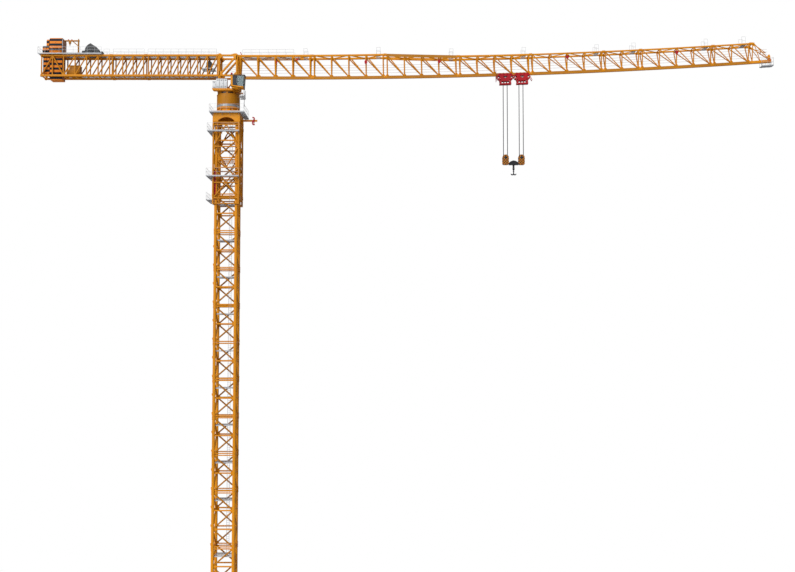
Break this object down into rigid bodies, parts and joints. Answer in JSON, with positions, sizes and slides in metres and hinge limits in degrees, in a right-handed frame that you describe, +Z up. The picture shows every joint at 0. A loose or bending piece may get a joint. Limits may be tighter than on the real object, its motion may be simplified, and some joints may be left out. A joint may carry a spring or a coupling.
{
  "type": "tower crane, 1:10 scale model",
  "caption": "Flat-top tower crane as a scale model: lattice mast, slewing upperworks, long lattice jib with trolleys and hook, and a counter-jib with ballast.",
  "frame": {"origin": "centre of the foundation frame's underside, on the mast's axis", "axes": "+Z up the mast, +X along the jib towards its tip, +Y away from the side with the driver's cab"},
  "size_m": [11.4946, 0.658, 8.786],
  "materials": {
    "orange_paint": "weathered gloss",
    "zinc_steel": "galvanised",
    "red_paint": "satin",
    "winch_grey": "satin",
    "cabinet_grey": "satin",
    "cab_glass": "tinted",
    "ballast_stripes": "matt, striped",
    "wire_rope": "greased",
    "block_stripes": "striped",
    "black_paint": "satin",
    "forged_steel": "forged"
  },
  "bodies": {
    "mast": {"foundation_frame": "zinc_steel", "mast_base_section": "orange_paint", "mast_lower_section": "orange_paint", "mast_section_1": "orange_paint", "mast_section_2": "orange_paint", "mast_section_3": "orange_paint", "mast_section_4": "orange_paint", "mast_section_5": "orange_paint", "mast_section_6": "orange_paint", "mast_section_7": "orange_paint", "mast_section_8": "orange_paint", "mast_section_9": "orange_paint", "mast_section_10": "orange_paint", "mast_access": "zinc_steel", "climbing_frame": "orange_paint", "climbing_walkways": "zinc_steel", "climbing_cylinder": "red_paint", "monorail_beam": "orange_paint", "ring_support": "orange_paint", "slewing_ring_lower": "zinc_steel"},
    "upperworks": {"slewing_ring_upper": "zinc_steel", "slewing_drum": "orange_paint", "slewing_deck": "orange_paint", "drum_landing": "zinc_steel", "switch_cabinets": "cabinet_grey", "cab_bracket": "orange_paint", "cab_shell": "orange_paint", "cab_glass": "cab_glass", "head_frame": "orange_paint", "jib_section_1": "orange_paint", "jib_section_2": "orange_paint", "jib_section_3": "orange_paint", "jib_section_4": "orange_paint", "jib_section_5": "orange_paint", "jib_section_6": "orange_paint", "jib_section_7": "orange_paint", "jib_section_8": "orange_paint", "jib_tip": "orange_paint", "tip_platform": "zinc_steel", "jib_walkways": "zinc_steel", "rope_pulleys": "red_paint", "jib_ropes": "wire_rope", "counter_jib_inner": "orange_paint", "counter_jib_middle": "orange_paint", "counter_jib_outer": "orange_paint", "counter_deck": "zinc_steel", "counter_railings": "zinc_steel", "ballast_blocks": "ballast_stripes", "hoist_winch": "winch_grey", "rope_locker": "orange_paint", "davit": "orange_paint", "trolley_winch": "winch_grey"},
    "trolleys": {"trolley_inner": "red_paint", "trolley_outer": "red_paint", "hoist_ropes": "wire_rope"},
    "hook_set": {"hook_blocks": "block_stripes", "hook_traverse": "black_paint"},
    "hook": {"ramshorn_hook": "forged_steel"},
    "monorail_trolley": {"monorail_hoist": "red_paint"}
  },
  "joints": [
    {"name": "slew", "type": "hinge", "parent": "mast", "child": "upperworks", "pos_m": [0, 0, 7.654], "axis": [0, 0, 1], "continuous": true},
    {"name": "trolley_travel", "type": "hinge", "parent": "upperworks", "child": "trolleys", "pos_m": [0.885, 0, 117.45], "axis": [0, -1, 0], "range_deg": [-1.99, 1.78]},
    {"name": "hoist", "type": "slide", "parent": "trolleys", "child": "hook_set", "axis": [0, 0, 1], "range_m": [-6.4, 0.95], "deforming": ["hoist_ropes"]},
    {"name": "hook_swivel", "type": "hinge", "parent": "hook_set", "child": "hook", "pos_m": [4.4634, 0, 6.692], "axis": [0, 0, 1], "continuous": true},
    {"name": "monorail_travel", "type": "slide", "parent": "mast", "child": "monorail_trolley", "axis": [1, 0, 0], "range_m": [-0.155, 0.04]}
  ]
}
